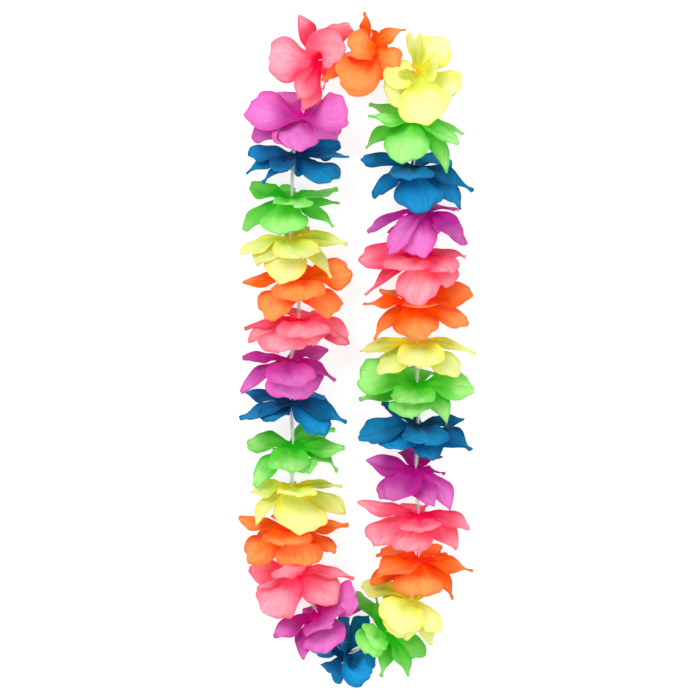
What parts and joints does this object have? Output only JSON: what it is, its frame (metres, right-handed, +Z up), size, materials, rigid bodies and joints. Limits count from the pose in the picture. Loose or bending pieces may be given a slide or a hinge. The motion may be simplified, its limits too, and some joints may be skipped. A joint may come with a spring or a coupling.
{
  "type": "artificial flower lei",
  "caption": "Long loop of bright cloth flowers, each of two cut layers of petals, threaded on a white string with clear plastic straws between them, laid flat.",
  "frame": {"origin": "on the surface that the lei lies on, under the middle of its outline", "axes": "+Y along the loop toward the knot's end, +X to the right seen from above, +Z up"},
  "size_m": [0.1781, 0.5054, 0.0647],
  "materials": {
    "pink_cloth": "thin woven cloth dyed neon pink, deeper at the throat",
    "orange_cloth": "thin woven cloth dyed neon orange, redder at the throat",
    "yellow_cloth": "thin woven cloth dyed pale lemon, gold at the throat",
    "green_cloth": "thin woven cloth dyed bright green, deeper at the throat",
    "blue_cloth": "thin woven cloth dyed deep sky blue, darker at the throat",
    "purple_cloth": "thin woven cloth dyed magenta to violet",
    "clear_plastic": "clear, slightly cloudy drinking-straw plastic",
    "white_thread": "white twisted thread"
  },
  "bodies": {
    "root": {"bloom_01_pink": "pink_cloth", "bloom_02_orange": "orange_cloth", "bloom_03_yellow": "yellow_cloth", "bloom_04_green": "green_cloth", "bloom_05_blue": "blue_cloth", "bloom_06_purple": "purple_cloth", "bloom_07_pink": "pink_cloth", "bloom_08_orange": "orange_cloth", "bloom_09_yellow": "yellow_cloth", "bloom_10_green": "green_cloth", "bloom_11_blue": "blue_cloth", "bloom_12_purple": "purple_cloth", "bloom_13_pink": "pink_cloth", "bloom_14_orange": "orange_cloth", "bloom_15_yellow": "yellow_cloth", "bloom_16_green": "green_cloth", "bloom_17_blue": "blue_cloth", "bloom_18_purple": "purple_cloth", "bloom_19_pink": "pink_cloth", "bloom_20_orange": "orange_cloth", "bloom_21_yellow": "yellow_cloth", "bloom_22_green": "green_cloth", "bloom_23_blue": "blue_cloth", "bloom_24_purple": "purple_cloth", "bloom_25_pink": "pink_cloth", "bloom_26_orange": "orange_cloth", "bloom_27_yellow": "yellow_cloth", "bloom_28_green": "green_cloth", "bloom_29_blue": "blue_cloth", "bloom_30_purple": "purple_cloth", "straw_01": "clear_plastic", "straw_02": "clear_plastic", "straw_03": "clear_plastic", "straw_04": "clear_plastic", "straw_05": "clear_plastic", "straw_06": "clear_plastic", "straw_07": "clear_plastic", "straw_08": "clear_plastic", "straw_09": "clear_plastic", "straw_10": "clear_plastic", "straw_11": "clear_plastic", "straw_12": "clear_plastic", "straw_13": "clear_plastic", "straw_14": "clear_plastic", "straw_15": "clear_plastic", "straw_16": "clear_plastic", "straw_17": "clear_plastic", "straw_18": "clear_plastic", "straw_19": "clear_plastic", "straw_20": "clear_plastic", "straw_21": "clear_plastic", "straw_22": "clear_plastic", "straw_23": "clear_plastic", "straw_24": "clear_plastic", "straw_25": "clear_plastic", "straw_26": "clear_plastic", "straw_27": "clear_plastic", "straw_28": "clear_plastic", "straw_29": "clear_plastic", "string": "white_thread"}
  },
  "joints": []
}
